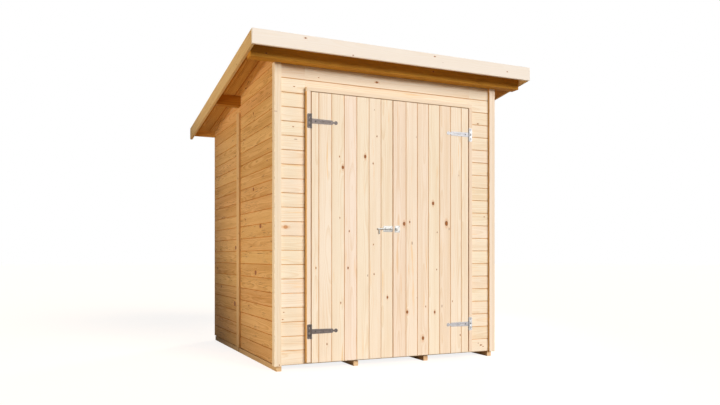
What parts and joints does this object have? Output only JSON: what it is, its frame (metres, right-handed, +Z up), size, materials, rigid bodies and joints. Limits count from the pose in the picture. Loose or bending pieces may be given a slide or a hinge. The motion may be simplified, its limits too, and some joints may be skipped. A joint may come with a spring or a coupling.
{
  "type": "garden shed",
  "caption": "Wooden garden shed with a single-slope roof, boarded double doors on tee hinges, a barrel bolt, corner boards, eaves and floor bearers; the inside is hollow.",
  "frame": {"origin": "on the ground under the centre of the roof outline", "axes": "+X to the right along the front, the front faces -Y, +Z up"},
  "size_m": [2.156, 2.092, 2.1948],
  "materials": {
    "cladding": "planed softwood boards, untreated, pale with small brown knots",
    "frame_wood": "planed softwood, untreated",
    "floor_wood": "planed softwood, untreated",
    "trim_wood": "planed softwood, untreated, pale",
    "felt": "mineral roofing felt, matt",
    "door_wood": "planed softwood boards, untreated, pale with small brown knots",
    "galvanised_steel": "bright galvanised, satin"
  },
  "bodies": {
    "shed": {"floor_bearers": "floor_wood", "floor_boards": "floor_wood", "front_wall_left": "cladding", "front_wall_right": "cladding", "front_wall_header": "cladding", "left_wall_front": "cladding", "left_wall_rear": "cladding", "right_wall_front": "cladding", "right_wall_rear": "cladding", "rear_wall": "cladding", "side_bottom_plates": "frame_wood", "cross_bottom_plates": "frame_wood", "side_top_plates": "frame_wood", "cross_top_plates": "frame_wood", "corner_posts": "frame_wood", "side_studs": "frame_wood", "rear_studs": "frame_wood", "side_corner_boards": "trim_wood", "front_corner_strips": "trim_wood", "side_cover_strips": "trim_wood", "door_jambs": "trim_wood", "door_head": "trim_wood", "door_sill": "floor_wood", "front_purlin": "frame_wood", "middle_purlin": "frame_wood", "roof_boards": "frame_wood", "roof_felt": "felt", "front_fascia": "trim_wood", "rear_fascia": "frame_wood", "barge_boards": "trim_wood", "left_hinge_plates": "galvanised_steel", "right_hinge_plates": "galvanised_steel"},
    "left_door": {"left_door_boards": "door_wood", "left_door_ledges": "door_wood", "left_door_braces": "door_wood", "left_hinge_straps": "galvanised_steel", "bolt_plate": "galvanised_steel"},
    "right_door": {"right_door_boards": "door_wood", "right_door_ledges": "door_wood", "right_door_braces": "door_wood", "right_hinge_straps": "galvanised_steel", "bolt_keeper": "galvanised_steel"},
    "bolt": {"bolt_rod": "galvanised_steel"}
  },
  "joints": [
    {"name": "left_door_hinge", "type": "hinge", "parent": "shed", "child": "left_door", "pos_m": [-0.6295, -0.8985, 0.9], "axis": [0, 0, -1], "range_deg": [0, 170]},
    {"name": "right_door_hinge", "type": "hinge", "parent": "shed", "child": "right_door", "pos_m": [0.6295, -0.8985, 0.9], "axis": [0, 0, 1], "range_deg": [0, 170]},
    {"name": "bolt_slide", "type": "slide", "parent": "left_door", "child": "bolt", "axis": [1, 0, 0], "range_m": [0, 0.04]}
  ]
}
